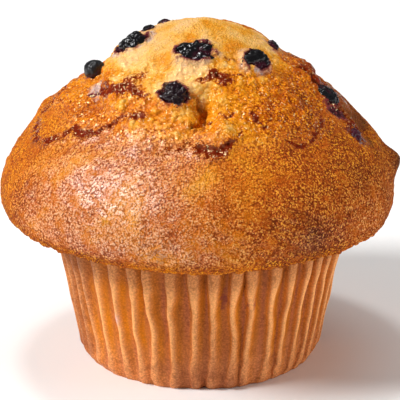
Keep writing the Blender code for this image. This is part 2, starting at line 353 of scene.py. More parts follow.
def newGroup(name, inputs, outputs):        # the group, what it is given and what it puts out
    group = bpy.data.node_groups.new(name, "ShaderNodeTree")
    for socket, kind, value in inputs:
        made = group.interface.new_socket(socket, in_out="INPUT", socket_type="NodeSocket" + kind)
        if value is not None:
            made.default_value = value
    for socket, kind in outputs:
        group.interface.new_socket(socket, in_out="OUTPUT", socket_type="NodeSocket" + kind)
    return group, group.nodes.new("NodeGroupInput").outputs, group.nodes.new("NodeGroupOutput").inputs


def placeGroup(tree, group, **inputs):
    return addNode(tree, "ShaderNodeGroup", inputs, node_tree=group).outputs


def grainGroup():       # fine baked grain: light specks, dark pores and a height for bump
    group, given, result = newGroup(
        "FineGrain",
        [("Vector", "Vector", None), ("Scale", "Float", 1500.0)],
        [("Specks", "Float"), ("Pores", "Float"), ("Height", "Float")],
    )
    lumps = noiseValue(group, given["Vector"], given["Scale"], 1.0)
    crumbs = noiseValue(group, given["Vector"], times(group, given["Scale"], 1.9), 1.0)
    patches = noiseValue(group, given["Vector"], 260.0, 2.0)
    wider = times(group, given["Scale"], 1.25)
    grains = addNode(group, "ShaderNodeTexVoronoi", {"Vector": given["Vector"], "Scale": wider})
    level = 0.26
    for part, share in ((patches, 0.12), (grains.outputs["Distance"], -0.34), (crumbs, 0.40), (lumps, 0.30)):
        level = mathNode(group, "MULTIPLY_ADD", part, share, level)
    feed(group, result["Specks"], mapRange(group, level, 0.52, 0.62))
    feed(group, result["Pores"], mapRange(group, level, 0.48, 0.39))
    feed(group, result["Height"], mapRange(group, level, 0.34, 0.68))
    return group


def crackGroup():       # short fine slanting cracks of a flaky skin
    group, given, result = newGroup(
        "FineCracks",
        [("Vector", "Vector", None), ("Scale", "Float", 300.0)],
        [("Mask", "Float")],
    )
    slant = {"Vector": given["Vector"], "Rotation": (0.0, math.radians(-24.0), 0.0), "Scale": (1.0, 1.0, 2.0)}
    turned = addNode(group, "ShaderNodeMapping", slant).outputs["Vector"]
    ridges = noiseValue(group, turned, given["Scale"], 3.0, Roughness=0.6, Distortion=0.5)
    apart = mathNode(group, "ABSOLUTE", mathNode(group, "SUBTRACT", ridges, 0.5))
    broken = mapRange(group, noiseValue(group, given["Vector"], 420.0, 1.0), 0.40, 0.52)
    feed(group, result["Mask"], times(group, mapRange(group, apart, 0.010, 0.034, 1.0, 0.0), broken))
    return group


def mottleGroup():      # slow patchy variation
    group, given, result = newGroup(
        "Mottle",
        [("Vector", "Vector", None), ("Scale", "Float", 120.0)],
        [("Mask", "Float")],
    )
    patches = noiseValue(group, given["Vector"], given["Scale"], 4.0, Roughness=0.55)
    feed(group, result["Mask"], mapRange(group, patches, 0.34, 0.66))
    return group


def juiceGroup():       # berry juice soaked into what lies under it
    group, given, result = newGroup(
        "JuiceStain",
        [("Color", "Color", None), ("Vector", "Vector", None), ("Juice", "Float", 0.0)],
        [("Color", "Color")],
    )
    rough = mapRange(group, noiseValue(group, given["Vector"], 900.0, 3.0), 0.3, 0.7, -0.28, 0.28)
    ragged = mathNode(group, "ADD", given["Juice"], rough)
    ragged = times(group, ragged, mapRange(group, given["Juice"], 0.02, 0.15))
    soaked = mixColours(group, mapRange(group, ragged, 0.08, 0.55), given["Color"], (0.20, 0.030, 0.036))
    soaked = mixColours(group, mapRange(group, ragged, 0.50, 0.95), soaked, (0.040, 0.005, 0.011))
    feed(group, result["Color"], soaked)
    return group


fineGrain = grainGroup()
fineCracks = crackGroup()
mottle = mottleGroup()
juiceStain = juiceGroup()
print("node groups ready")


# Looks of the crust
crust = {
    "stages": [                         # from pale crumb to the deepest browning
        (0.00, (0.84, 0.48, 0.190)),
        (0.12, (0.82, 0.42, 0.088)),
        (0.22, (0.74, 0.285, 0.012)),
        (0.30, (0.71, 0.218, 0.003)),
        (0.40, (0.63, 0.155, 0.001)),
        (0.55, (0.49, 0.090, 0.001)),
        (0.78, (0.30, 0.048, 0.002)),
        (1.00, (0.13, 0.026, 0.005)),
    ],
    "caramel": (0.17, 0.011, 0.001),    # scorched sugar, thick and thin
    "caramelThin": (0.42, 0.080, 0.003),
    "lilac": (0.56, 0.40, 0.37),        # dough tinted by a berry
    "speckCream": (0.97, 0.60, 0.200),
    "speckGold": (0.95, 0.372, 0.013),
    "speckPeach": (0.90, 0.41, 0.150),  # paler, pinker specks low on the left front, a painted highlight where the sheen falls, and also at the far right
    "speckDark": (0.42, 0.275, 0.120),
    "crack": (0.34, 0.085, 0.008),
    "crackShare": 0.65,
    "paintedGlint": (1.0, 0.76, 0.38),         # painted glints: pale dots in the colour of the damp crust
    "paintedGlintShare": 0.60,
    "mottleScale": 110.0,
    "blotchScale": 330.0,
    "grainScale": 1500.0,
    "crackScale": 330.0,
    "paintedGlintScale": 1900.0,
    "dropScale": 1300.0,
    "beadScale": 850.0,                 # syrupy beads of the moist crust
    "beadHeight": 2.3,
    "crackHeight": -0.35,
    "bumpDepth": 0.00036,
    "dryRoughness": 1.0,
    "syrupRoughness": 0.12,
    "glazeRoughness": 0.46,
    "glazeIor": 2.1,
    "specular": 0.55,
    "shine": (1.0, 0.79, 0.38),         # tint of the reflections
    "softness": 0.10,                   # light that soaks into the crumb
    "softRadius": (1.0, 0.3, 0.06),
    "softDepth": 0.0012,
}


def crustColour(tree, place, grain, blotches, cracks):      # browning with painted light and shade, specks, pores and fine cracks
    browningAndPaintedLight = fieldValue(tree, "browningAndPaintedLight")
    patches = placeGroup(tree, mottle, Vector=place, Scale=crust["mottleScale"])["Mask"]
    uneven = mathNode(tree, "MULTIPLY_ADD", patches, 0.20, -0.10)
    colour = colourRamp(tree, mathNode(tree, "ADD", browningAndPaintedLight, uneven), crust["stages"])
    colour = mixColours(tree, fieldValue(tree, "lilac"), colour, crust["lilac"])
    speckle = times(tree, fieldValue(tree, "speckle"), mapRange(tree, blotches, 0.10, 0.55, 0.35, 1.0))
    light = times(tree, times(tree, grain["Specks"], speckle), mapRange(tree, browningAndPaintedLight, 0.68, 0.95, 0.95, 0.20))
    dark = times(tree, times(tree, grain["Pores"], speckle), mapRange(tree, browningAndPaintedLight, 0.12, 0.6, 0.25, 1.50))
    specks = mixColours(tree, mapRange(tree, browningAndPaintedLight, 0.12, 0.30), crust["speckCream"], crust["speckGold"])
    specks = mixColours(tree, fieldValue(tree, "peach"), specks, crust["speckPeach"])
    colour = mixColours(tree, light, colour, specks)
    colour = mixColours(tree, dark, colour, crust["speckDark"], "MULTIPLY")
    return mixColours(tree, times(tree, cracks, crust["crackShare"]), colour, crust["crack"])


def crustSyrup(tree, grain):        # scorched sugar, thickest in the hollows of the grain
    caramel = fieldValue(tree, "caramel")
    pooled = mathNode(tree, "MULTIPLY_ADD", grain["Height"], -0.60, 0.30)
    return times(tree, mathNode(tree, "ADD", caramel, pooled), mapRange(tree, caramel, 0.03, 0.12))


def crustGlaze(tree, grain, blotches, wet):     # satin sheen of the dry crust, none where it turns away
    glaze = mapRange(tree, grain["Height"], 0.15, 0.75, 0.12, 1.25)
    facing = addNode(tree, "ShaderNodeLayerWeight", {}).outputs["Facing"]
    for share in (mapRange(tree, blotches, 0.10, 0.55, 0.45, 1.0), fieldValue(tree, "glaze"),
                  mapRange(tree, facing, 0.30, 0.68, 1.0, 0.0), mapRange(tree, wet, 0.0, 0.4, 1.0, 0.0)):
        glaze = times(tree, glaze, share)
    return glaze


def crustHeight(tree, place, grain, cracks, damp):      # dry grain, or beads where the crust is damp
    beads = noiseValue(tree, place, crust["beadScale"], 0.0)
    smooth = mapRange(tree, damp, 0.1, 0.6)
    height = times(tree, grain["Height"], mapRange(tree, smooth, 0.0, 1.0, 1.0, 0.08))
    height = mathNode(tree, "MULTIPLY_ADD", times(tree, beads, smooth), crust["beadHeight"], height)
    return mathNode(tree, "MULTIPLY_ADD", cracks, crust["crackHeight"], height)


def crustMaterial():
    material, tree, place = newMaterial("BakedCrust")
    grain = placeGroup(tree, fineGrain, Vector=place, Scale=crust["grainScale"])
    blotches = placeGroup(tree, mottle, Vector=place, Scale=crust["blotchScale"])["Mask"]
    cracks = placeGroup(tree, fineCracks, Vector=place, Scale=crust["crackScale"])["Mask"]
    cracks = times(tree, cracks, fieldValue(tree, "flaky"))
    syrup = crustSyrup(tree, grain)
    juice = fieldValue(tree, "juice")
    moist = fieldValue(tree, "moist")
    wet = mathNode(tree, "MAXIMUM", mapRange(tree, syrup, 0.2, 0.7), juice)
    damp = mathNode(tree, "MAXIMUM", wet, moist)

    colour = crustColour(tree, place, grain, blotches, cracks)
    colour = mixColours(tree, mapRange(tree, syrup, 0.08, 0.40), colour, crust["caramelThin"])
    colour = mixColours(tree, mapRange(tree, syrup, 0.32, 0.64), colour, crust["caramel"])
    colour = placeGroup(tree, juiceStain, Color=colour, Vector=place, Juice=juice)["Color"]
    # painted glints: pale dots mixed into the colour where the crust is damp
    glintDots = noiseValue(tree, place, crust["paintedGlintScale"], 0.0)
    paintedGlint = mapRange(tree, glintDots, 0.72, 0.78, 0.0, crust["paintedGlintShare"])
    colour = mixColours(tree, times(tree, paintedGlint, mapRange(tree, damp, 0.0, 0.5)), colour, crust["paintedGlint"])

    drops = noiseValue(tree, place, crust["dropScale"], 1.0)
    glossy = mathNode(tree, "MAXIMUM", times(tree, moist, mapRange(tree, drops, 0.37, 0.47, 0.15, 1.0)),
                      times(tree, wet, mapRange(tree, drops, 0.30, 0.42, 0.3, 1.0)))
    height = crustHeight(tree, place, grain, cracks, damp)
    dressShader(tree, {
        "Base Color": colour,
        "Roughness": mapRange(tree, glossy, 0.0, 0.5, crust["dryRoughness"], crust["syrupRoughness"]),
        "Normal": bumpNormal(tree, height, 1.0, crust["bumpDepth"]),
        "Coat Weight": crustGlaze(tree, grain, blotches, wet),
        "Coat Roughness": crust["glazeRoughness"],
        "Coat IOR": crust["glazeIor"],
        "Specular IOR Level": crust["specular"],
        "Specular Tint": crust["shine"],
        "Subsurface Weight": crust["softness"],
        "Subsurface Radius": crust["softRadius"],
        "Subsurface Scale": crust["softDepth"],
    })
    return material


# The skin of the cake: rings of points from the case up to the crown, with sizes and depths of its relief
cakeSkin = {
    "columns": 512,
    "bands": [(-90.0, 0.0, 36), (0.0, 30.0, 44), (30.0, 75.0, 90), (75.0, 89.0, 19)],
    "stem": [(26.6, 0.9), (27.8, 2.4), (33.0, 33.2)],       # radius and height, hidden in the case
    "nestReach": 5.0,                           # how deep under the skin a berry's nest may reach
    "swellSize": 16.0, "swellDepth": 0.28,
    "lumpSize": 4.2, "lumpDepth": 0.36,
    "crumbSize": 2.4, "crumbDepth": 0.30,       # moist crumb of the crown
    "grainSize": 1.1, "grainDepth": 0.07,
    "edgeSize": 2.0, "edgeDepth": 0.52,         # crumbs of the rolled underside
    "rippleSize": 4.6, "rippleDepth": 0.24, "calmDepth": 0.06,      # slanting ripples of the skirt
    "flakeSize": 3.4, "flakeDepth": 0.35,
    "hollowDepth": 0.60,                        # under the crown on the right
}

# Bands of the cap, as the latitudes between which each goes from none to full
zones = {
    "rooted": (-90.0, -78.0),           # the relief starts at the case
    "rolled": (-12.0, -48.0),           # the crumbly underside
    "rippledBelow": (26.0, 6.0),
    "rippledAbove": (-30.0, -6.0),
    "flakyAbove": (-32.0, -18.0),
    "crown": (28.0, 48.0),
    "moist": (30.0, 44.0),
    "drying": (62.0, 74.0),
    "matt": (80.0, 62.0),
    "flatRight": (46.0, 56.0),
    "flatTop": (66.0, 76.0),
    "tinted": (57.0, 66.0),             # berries high up tint more dough
    "speckledTop": (72.0, 58.0),
    "speckledSlope": (56.0, 34.0),
    "speckledRight": (72.0, 56.0),
    "peach": (32.0, 8.0),
    "peachUnder": (-4.0, -22.0),
    "peachLeft": (-25.0, -10.0),
    "peachRight": (18.0, -4.0),
    "glazed": (-40.0, 5.0),
    "glazedAbove": (32.0, 46.0),
}

# How far the crust browned: amounts, each with the latitudes between which it comes in
baking = {
    "crown": 0.07,
    "shoulder": (0.42, 68.0, 46.0),
    "slope": (0.10, 38.0, 8.0),
    "top": (0.06, 76.0, 90.0),
    # more browning towards the right, the side away from the key light: partly browning, partly painted shade
    "right": (0.21, 80.0, 50.0),
    "left": (0.12, 55.0, 35.0),
    "skirt": (0.47, 32.0, 14.0),        # the least on the skirt
    "foot": (0.22, -58.0, -76.0),       # darker crumbs next to the case
    "belt": (0.14, -24.0, 15.0),        # amount, middle and reach
    "slow": 0.10, "patches": 0.11,      # uneven heat
    "strength": 0.8,                    # of it all
}

# Splits, scorched folds and smears. Each: its route as (longitude, latitude), width, groove, lip,
# caramel and juice
strokes = [
    ([(-93, 41), (-89, 35), (-88, 29), (-81, 26), (-74, 24), (-66, 26)], 1.8, 0.12, 0.25, 0.50, 0.01),
    ([(-66, 26), (-60, 31), (-58, 35), (-53, 34), (-46, 36), (-42, 41)], 1.3, 0.35, 0.25, 0.75, 0.03),
    ([(-42, 41), (-36, 43), (-28, 46)], 0.8, 0.45, 0.2, 0.85, 0.02),
    ([(-28, 46), (-26, 44)], 1.3, 0.3, 0.2, 1.0, 0.04),
    ([(-65, 52), (-55, 51), (-47, 52.5)], 1.7, 0.15, 0.3, 0.95, 0.05),
    ([(-47, 52.5), (-40, 54.5), (-30, 53)], 1.6, 0.1, 0.3, 0.70, 0.03),
    ([(-44, 55), (-42, 58.5), (-38, 61)], 1.3, 0.1, 0.3, 0.30, 0.0),
    ([(-1, 60.5), (5, 62), (9, 63), (13, 62)], 0.75, 0.35, 0.2, 1.0, 0.01),
    ([(8, 64), (12, 62.5), (19, 60.5)], 1.2, 0.4, 0.2, 1.1, 0.01),
    ([(19, 63), (29, 61.5)], 0.55, 0.2, 0.1, 0.75, 0.0),
    ([(-2, 36), (2, 34), (7, 33.5), (11, 35.5)], 1.5, 0.35, 0.3, 1.0, 0.03),
    ([(11, 35.5), (15, 38), (17, 41)], 0.6, 0.15, 0.1, 0.6, 0.0),
    ([(5, 45), (10, 46.5), (17, 48)], 0.7, 0.25, 0.15, 0.6, 0.22),
    ([(23, 47.5), (25, 44), (28, 40.5)], 0.8, 0.3, 0.1, 0.85, 0.0),
    ([(33, 35), (38, 32), (46, 32.5), (57, 36)], 0.8, 0.2, 0.1, 0.8, 0.0),
    ([(57, 36), (59, 41)], 1.1, 0.05, 0.05, 0.7, 0.0),
    ([(79, 56), (79, 50), (76, 42), (76, 36), (77, 28)], 1.3, 1.0, 0.45, 0.3, 0.0),
    ([(62, 65), (64, 60), (66, 57)], 0.5, 0.5, 0.1, 0.25, 0.0),
    ([(8, 70.5), (20, 69), (32, 68)], 0.50, 0.45, 0.1, 0.25, 0.30),
    ([(-16, 32), (-11, 34.5), (-7, 36)], 1.6, 0.0, 0.0, 0.33, 0.0),
    ([(-6, 37), (-5, 39)], 0.7, 0.0, 0.0, 0.5, 0.02),
    ([(-71, 49.5), (-73, 46.5)], 1.1, 0.4, 0.1, 0.0, 1.5),
    ([(-77, 51), (-78, 48)], 0.5, 0.1, 0.0, 0.0, 0.5),
    ([(140, 38), (150, 33), (161, 34), (170, 40)], 1.5, 0.30, 0.25, 0.80, 0.02),
    ([(200, 45), (208, 41), (219, 42)], 1.2, 0.35, 0.20, 0.90, 0.03),
    ([(228, 30), (236, 27), (247, 30), (255, 36)], 1.3, 0.20, 0.20, 0.70, 0.01),
    ([(178, 62), (186, 59), (190, 60)], 1.0, 0.30, 0.20, 0.80, 0.03),
    ([(172, 22), (180, 20), (187, 22)], 0.7, 0.20, 0.10, 0.50, 0.0),
    ([(-6, 57), (0, 54), (2.5, 50), (1.5, 46), (-4, 43.5)], 1.7, 1.3, 0.4, 0.0, 0.0),
    ([(2, 54.5), (3.5, 50.5), (2.5, 46.5)], 0.6, 1.0, 0.0, 0.08, 0.0),
    ([(-22, 58), (-19, 59.5)], 1.0, 0.0, 0.0, 0.1, 0.6),
    ([(73, 41), (72, 38), (74, 34)], 1.9, 0.1, 0.2, 0.5, 1.4),
    ([(84, 57), (87, 46), (88, 36)], 5.0, 0.0, 0.0, 0.42, 0.0),
    ([(69, 29), (73, 27.5), (77, 25)], 3.2, 0.0, 0.0, 0.80, 0.03),
]


# Where the crust browned less or more than round about, and one painted highlight: longitude, latitude,
# reach, amount
browning = [
    (-52, 60, 5.0, -0.16), (-8, 65, 4.0, -0.10), (22, 61, 5.5, 0.14), (43, 62, 3.5, -0.06),
    (2, 52, 3.0, -0.13), (-6, 49, 3.5, -0.09), (9, 43, 4.0, -0.16), (-14, 46, 4.0, -0.10),
    # (-27, 8) is a painted highlight: paler crust where the key light's sheen falls on the left front
    (31, 4, 10.5, 0.20), (58, 24, 9.0, 0.14), (-27, 8, 7.5, -0.15), (-66, 45, 5.0, 0.07),
    (58, 61, 7.0, 0.22), (-66, 44, 6.0, 0.09), (34, 53, 6.0, -0.06), (-8, -28, 12.0, -0.11),
    (34, -3, 6.5, 0.15), (-58, 20, 7.0, -0.10), (50, 48, 5.0, 0.06), (74, 10, 6.0, 0.08),
    (48, -36, 12.0, -0.18), (-37, -60, 8.0, 0.07), (76, -8, 11.0, -0.06), (-16, 54, 4.5, 0.14),
    (20, 76, 9.0, 0.12), (-10, 82, 7.0, 0.10), (14, 45, 6.0, -0.05), (14, 18, 9.0, -0.12),
    (91, 9, 5.0, 0.6), (-48, -4, 7.0, 0.06), (82, -30, 9.0, -0.08), (78, 4, 7.0, 0.06),
    (-64, 54, 3.0, 0.15), (-28, 66, 3.5, 0.12), (130, 52, 6.0, -0.15), (160, 46, 5.0, 0.15),
    (196, 60, 5.0, -0.15), (205, 8, 12.0, 0.15), (150, 14, 9.0, -0.10), (238, 40, 5.0, -0.12),
]

# Folds of crust that scorched dark: longitude from and to, latitude from and to, amount
scorches = [(74, 118, 24, 63, 0.52), (108, 150, 62, 84, 0.50), (238, 262, 44, 60, 0.3)]

# Where the skin of the crust cracked into fine flakes: longitude, latitude, reach, how strong
flakyPatches = [
    (-12, -12, 7.5, 1.0), (-30, -6, 9.0, 0.6), (-62, 14, 7.0, 0.7), (-20, 24, 5.0, 0.5),
    (24, -18, 7.0, 0.5), (118, -8, 9.0, 0.8), (176, 10, 8.0, 0.8), (222, -12, 10.0, 0.9),
    (262, 6, 8.0, 0.6),
]

# Pale pockets of dough tinted by a berry: longitude, latitude, reach
pockets = [(-72, 50.5, 2.8), (42.5, 62.5, 1.3), (226, 52, 2.0), (158, 52, 1.8)]


def ringLatitudes():        # closest together on the crown
    lats = []
    for low, high, count in cakeSkin["bands"]:
        lats += [low + (high - low) * step / count for step in range(count)]
    return np.array(lats + [cakeSkin["bands"][-1][1]])


def zone(lat, name):
    return fade(lat, *zones[name])


def browned(lat, name):
    amount, start, end = baking[name]
    return amount * fade(lat, start, end)


def addBerryNests(points, fields, relief):      # dough sinks under a berry and stands up round it
    ragged = randomShifts(points, 2.6, 31) * 0.50 + randomShifts(points, 1.0, 37) * 0.30
    patchy = randomHeights(points, 2.2, 51, 2)
    for lon, lat, lift, halfSizes, _, _, _, stain, opening in berries.values():
        centre, across, up, out = berryFrame(lon, lat, lift)
        offset = points + ragged - centre
        wide, tall = halfSizes[0] * (0.5 + 0.5 * opening), halfSizes[1] * opening
        reach = np.hypot(offset @ across / wide, offset @ up / tall)
        near = np.abs(offset @ out) < cakeSkin["nestReach"]
        buried = halfSizes[2] * math.sqrt(1.0 - opening ** 2) + min(lift, 0.0)
        cover = min(max(buried, 0.0), 0.7) * (1.0 - fade(reach, 1.0, 1.8))      # dough over its edges
        sink = (halfSizes[2] * 0.75 + lift) * (1.0 - fade(reach, 0.66, 0.94))
        lip = (0.55 + 0.45 * patchy) * bell(reach - 1.08, 0.17) * min(wide / 3.0, 1.0) ** 2
        relief += np.where(near, lip + cover - sink, 0.0)
        apart = (reach - 1.0) * (wide + tall) / 2.0         # millimetres outside the opening
        soaked = (1.0 - fade(apart, -0.6, 1.2)) * (0.8 + 0.7 * patchy)
        halo = np.clip(0.45 + 1.3 * patchy, 0.0, 1.6) * (0.2 + 0.8 * float(zone(lat, "tinted")))
        fields["juice"] += np.where(near, stain * soaked, 0.0)
        tint = 0.60 * min(stain, 1.0) * opening * bell(apart - 1.0, 0.8) * halo
        fields["lilac"] += np.where(near, tint, 0.0)


def addStrokes(points, fields, relief):
    ragged = points + randomShifts(points, 2.6, 7) * 0.75 + randomShifts(points, 1.0, 11) * 0.45
    broken = fade(randomHeights(points, 1.6, 52, 2), -0.55, 0.05)
    for lon, lat, reach in pockets:
        gap = np.linalg.norm(ragged - onCap(lon, lat), axis=-1)
        fields["lilac"] += 1.0 - fade(gap, reach * 0.7, reach * 1.2)
        relief -= 0.5 * bell(gap, reach * 0.8)
    for route, width, groove, lip, caramel, juice in strokes:
        path = smoothPath([onCap(lon, lat) for lon, lat in route])
        gap, along = pathDistance(ragged, path)
        breadth = width * (0.45 + 0.55 * np.sqrt(np.sin(np.pi * np.clip(along, 0.02, 0.98))))
        wash = bell(gap, breadth * 1.5)
        line = bell(gap, breadth * 0.75) * broken
        relief += lip * bell(gap - breadth, breadth * 0.7) - (groove + lip * 0.4) * bell(gap, breadth * 0.5)
        fields["caramel"] += caramel * (0.46 * wash + line)
        fields["juice"] += juice * (0.2 * wash + 0.6 * line)


def bakeField(lon, lat, points):        # how far each place has browned, with painted shade on the right and a painted highlight on the left front, from 0 to about 1
    slow = randomHeights(points, 14.0, 3, 2)
    patches = randomHeights(points, 5.0, 4, 2)
    rightness = np.sin(np.radians(lon))         # -1 at the left edge, 1 at the right one
    amount, middle, reach = baking["belt"]
    browningAndPaintedLight = baking["crown"] + browned(lat, "shoulder") + browned(lat, "slope") + browned(lat, "top")
    browningAndPaintedLight += amount * bell(lat - middle, reach)
    ragged = points + randomShifts(points, 5.0, 23) * 1.6
    for atLon, atLat, reach, amount in browning:
        browningAndPaintedLight += amount * bell(np.linalg.norm(ragged - onCap(atLon, atLat), axis=-1), reach)
    across = lon % 360.0 + 6.0 * patches + 5.0 * slow
    along = lat + 4.0 * slow + 4.0 * patches
    for lonFrom, lonTo, latFrom, latTo, amount in scorches:
        wide = fade(across, lonFrom - 3.0, lonFrom + 4.0) * fade(across, lonTo + 6.0, lonTo - 26.0)
        tall = fade(along, latFrom - 5.0, latFrom + 5.0) * fade(along, latTo + 3.0, latTo - 4.0)
        browningAndPaintedLight += amount * wide * tall
    # darker towards the right: partly browning, partly painted shade on the side away from the key light
    browningAndPaintedLight += browned(lat, "right") * fade(rightness, 0.20, 0.80)
    browningAndPaintedLight += browned(lat, "left") * fade(-rightness, 0.75, 1.0)
    browningAndPaintedLight += (baking["slow"] * slow + baking["patches"] * patches) * (0.60 + 0.40 * fade(lat, 20.0, 45.0))
    return np.maximum(browningAndPaintedLight, browned(lat, "skirt")) + browned(lat, "foot")


def crustForms(lat, plain):     # where the crust is moist, rippled or flaky, and the heights of these forms
    moist = zone(lat, "moist") * (0.55 + 0.45 * fade(randomHeights(plain, 9.0, 15), -0.3, 0.3))
    moist *= 1.0 - 0.6 * zone(lat, "drying")
    crumb = 2.2 * np.abs(randomHeights(plain, cakeSkin["crumbSize"], 16))
    crumb += 1.2 * np.abs(randomHeights(plain, cakeSkin["crumbSize"] / 2.1, 17))
    streaks = zone(lat, "rippledBelow") * zone(lat, "rippledAbove")
    stretched = plain * np.array((1.0, 1.0, 3.4)) + plain[..., :1] * np.array((0.0, 0.0, 1.6))
    slanted = plain * np.array((1.0, 1.0, 2.2)) + plain[..., :1] * np.array((0.0, 0.0, -1.1))
    ragged = plain + randomShifts(plain, 4.0, 27) * 2.0
    flaky = np.zeros(lat.shape)
    for atLon, atLat, reach, strength in flakyPatches:
        gap = np.linalg.norm(ragged - onCap(atLon, atLat), axis=-1)
        flaky = np.maximum(flaky, strength * bell(gap, reach) * zone(lat, "flakyAbove"))
    return {
        "crown": zone(lat, "crown"),
        "lumps": randomHeights(plain, cakeSkin["lumpSize"], 2, 2),
        "moist": moist,
        "crumb": crumb - crumb.mean(),
        "rippled": streaks * fade(randomHeights(plain, 17.0, 18), -0.25, 0.25),
        "ripples": randomHeights(stretched, cakeSkin["rippleSize"], 8, 2),
        "flaky": flaky,
        "flakes": randomHeights(slanted, cakeSkin["flakeSize"], 61, 3),
    }


def crustRelief(lon, lat, plain, forms):        # how far the skin stands out or in, in millimetres
    rightness = np.sin(np.radians(lon))
    edge = zone(lat, "rolled")
    flatter = 1.0 - 0.8 * fade(rightness, 0.45, 0.80) * zone(lat, "flatRight")
    flatter *= 1.0 - 0.4 * zone(lat, "flatTop")
    relief = cakeSkin["swellDepth"] * randomHeights(plain, cakeSkin["swellSize"], 1)
    relief += cakeSkin["lumpDepth"] * (0.25 + 0.75 * forms["crown"]) * forms["lumps"] * flatter
    relief -= cakeSkin["hollowDepth"] * fade(rightness, 0.50, 0.85) * bell(lat - 61.5, 5.5)
    relief += cakeSkin["crumbDepth"] * forms["moist"] * forms["crumb"]
    relief += cakeSkin["grainDepth"] * (1.0 + 3.0 * edge) * randomHeights(plain, cakeSkin["grainSize"], 5, 2)
    relief += cakeSkin["edgeDepth"] * edge * randomHeights(plain, cakeSkin["edgeSize"], 6, 2)
    relief += (cakeSkin["calmDepth"] + cakeSkin["rippleDepth"] * forms["rippled"]) * forms["ripples"]
    return relief + cakeSkin["flakeDepth"] * forms["flaky"] * forms["flakes"]


def crustFields(lon, lat, plain, forms):        # what the material reads: browning with painted light and shade, moisture, specks, sheen
    rightness = np.sin(np.radians(lon))
    browningAndPaintedLight = bakeField(lon, lat, plain)
    browningAndPaintedLight -= 0.10 * forms["rippled"] * forms["ripples"] + 0.05 * forms["flaky"] * forms["flakes"]
    # painted light and shade: paler where the moist crumb and crown lumps stand out, darker in their hollows
    browningAndPaintedLight -= 0.13 * forms["moist"] * forms["crumb"] + 0.03 * forms["crown"] * forms["lumps"]
    speckle = 0.52 + 0.10 * zone(lat, "speckledTop") + 0.30 * zone(lat, "speckledSlope")
    speckle += 0.25 * fade(rightness, -0.1, 0.6) * zone(lat, "speckledRight")
    # paler, pinker specks: a painted highlight low on the left front where the sheen falls, and some at the
    # far right
    peach = zone(lat, "peach") * (0.15 + 0.85 * fade(rightness, 0.35, -0.10))
    peach *= 1.0 - fade(-rightness, 0.80, 0.97) * zone(lat, "peachLeft")
    peach *= 1.0 - zone(lat, "peachUnder")
    peach += 0.8 * fade(rightness, 0.60, 0.88) * zone(lat, "peachRight")
    glaze = zone(lat, "glazed") * (1.0 - 0.9 * zone(lat, "glazedAbove")) * (0.8 + 0.2 * bell(lat - 3.0, 14.0))
    glaze *= 0.25 + 0.75 * fade(rightness, 0.30, -0.30)
    glaze *= 1.0 - 0.7 * fade(-rightness, 0.82, 0.97)
    return {
        "browningAndPaintedLight": baking["strength"] * browningAndPaintedLight,
        "moist": forms["moist"] * zone(lat, "matt"),
        "speckle": speckle,
        "peach": peach,
        "flaky": forms["flaky"],
        "glaze": glaze,
    }


def cakeMesh(lons, skin):       # the stem's rings below the skin's, closed at the foot and at the crown
    stem = np.array([around(lons, radius, height) for radius, height in cakeSkin["stem"]])
    rings = np.concatenate([stem, skin])
    rows, columns = rings.shape[:2]
    foot = (0.0, 0.0, cakeSkin["stem"][0][1])
    points = np.concatenate([rings.reshape(-1, 3), [onCap(0.0, 90.0), foot]])
    faces = ringFaces(rows, columns)
    last = (rows - 1) * columns
    crownPoint, footPoint = rows * columns, rows * columns + 1
    for column in range(columns):
        after = (column + 1) % columns
        faces.append((last + column, last + after, crownPoint))
        faces.append((after, column, footPoint))
    return points, faces


def makeCake(material):
    columns = cakeSkin["columns"]
    lons = np.arange(columns) * 360.0 / columns
    lon, lat = np.broadcast_arrays(lons[None, :], ringLatitudes()[:, None])
    plain = onCap(lon, lat)
    forms = crustForms(lat, plain)
    fields = {name: np.zeros(lat.shape) for name in ("juice", "lilac", "caramel")}
    relief = crustRelief(lon, lat, plain, forms)
    addBerryNests(plain, fields, relief)
    addStrokes(plain, fields, relief)
    relief *= zone(lat, "rooted")
    cake = newObject("cake", *cakeMesh(lons, plain + gridNormals(plain) * relief[..., None]), material)
    fields.update(crustFields(lon, lat, plain, forms))
    hidden = np.zeros(len(cakeSkin["stem"]) * columns)
    for name, values in fields.items():
        paintField(cake, name, np.concatenate([hidden, values.ravel(), [values[-1].mean(), 0.0]]))
    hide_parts("muffin_cake")
    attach(cake, "root")


# The form of the pleated case
caseForm = {
    "height": 33.0,
    "paper": 0.22,
    "footRadius": 30.1,
    "footHeight": 1.4,
    "flare": 0.192,
    "pleats": 43,
    "firstPleat": 5.0,          # degrees
    "footDepth": 0.7,
    "rimDepth": 2.1,
    "crestShare": 0.20,         # of a pleat's width, at mid height
    "rimWiden": 0.26,
    "footWiden": 0.18,
    "flankShare": 0.34,         # the side that falls away towards +X; the other one is steeper
    "steepShare": 0.09,
    "uneven": 0.13,             # shift of a whole pleat, and its sway up the wall, as shares of a pleat
    "sway": 0.05,
    "levels": 46,
    "baseRings": 6,
}

# Where the wall was pinched in handling: longitude, height, shift in pleats, reach up the wall
pinches = [
    (-66, 27, 0.34, 5.0), (-45, 12, -0.14, 4.0), (-19, 16, 0.16, 4.0), (14, 21, -0.12, 5.0),
    (30, 14, 0.12, 4.0), (120, 20, 0.2, 5.0), (200, 12, -0.2, 5.0), (250, 24, 0.2, 5.0),
]

# Small dents and ridges of the crumpled foot: longitude, height, reach across, reach up, push
dents = [
    (2, 0.5, 1.0, 3.0, -1.1), (12, 2.5, 2.6, 0.9, 0.5), (33, 4.5, 3.2, 0.8, 0.6),
    (38, 2.5, 2.0, 1.0, -0.5), (-24, 1.0, 1.6, 2.0, -0.6), (-52, 3.0, 2.4, 1.4, 0.4),
    (100, 2.0, 1.4, 3.0, -0.8), (165, 4.0, 3.0, 0.8, 0.5), (230, 1.0, 1.2, 2.6, -0.9),
    (-68, 22, 1.2, 6.0, -0.8),
]

